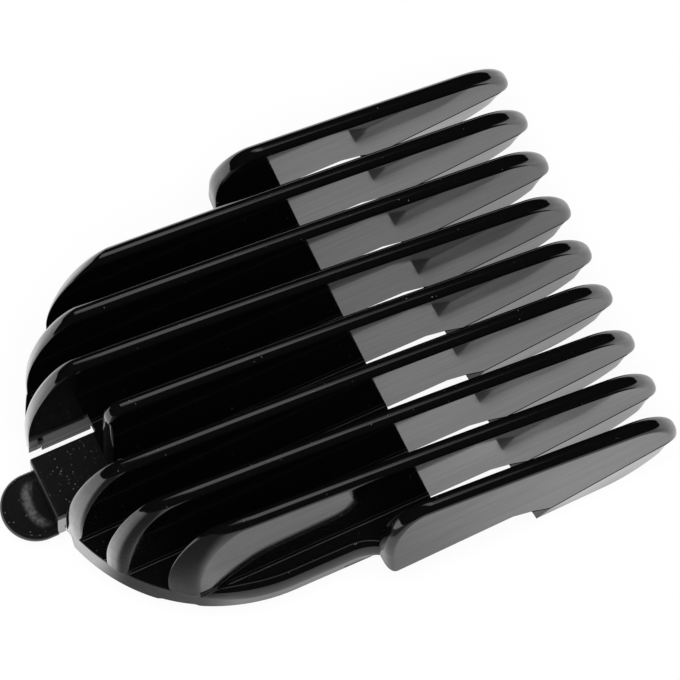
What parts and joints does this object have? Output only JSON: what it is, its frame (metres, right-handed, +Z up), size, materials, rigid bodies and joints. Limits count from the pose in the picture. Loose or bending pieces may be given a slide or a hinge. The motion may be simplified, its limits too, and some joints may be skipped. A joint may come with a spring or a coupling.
{
  "type": "clipper guide comb",
  "caption": "Clip-on guide comb: long parallel fins with bevelled toes on a round-backed hood, spacing a clipper blade off the skin; a sprung rear latch with a thumb tab holds it on.",
  "frame": {"origin": "middle of the base rectangle, on the plane that the toe keels and the latch catch rest on", "axes": "+X across the fins, +Y forward to the fin tips, +Z up from the blade side to the fin ridges"},
  "size_m": [0.0472, 0.0688, 0.0253],
  "materials": {
    "gloss_black": "mirror-gloss black moulding",
    "dull_black": "dull black with fine specks"
  },
  "bodies": {
    "comb": {"deck": "gloss_black", "skirt": "gloss_black", "fin_1": "gloss_black", "fin_2": "gloss_black", "fin_3": "gloss_black", "fin_4": "gloss_black", "fin_5": "gloss_black", "fin_6": "gloss_black", "fin_7": "gloss_black", "fin_8": "gloss_black", "fin_9": "gloss_black", "toe_1": "gloss_black", "toe_2": "gloss_black", "toe_3": "gloss_black", "toe_4": "gloss_black", "toe_5": "gloss_black", "toe_6": "gloss_black", "toe_7": "gloss_black", "toe_8": "gloss_black", "toe_9": "gloss_black"},
    "latch": {"latch_tongue": "dull_black", "thumb_tab": "gloss_black", "latch_catch": "gloss_black"}
  },
  "joints": [
    {"name": "latch_flex", "type": "hinge", "parent": "comb", "child": "latch", "pos_m": [0, -0.02315, 0.00785], "axis": [-1, 0, 0], "range_deg": [0, 8], "stiffness_Nm_per_rad": 0.4}
  ]
}
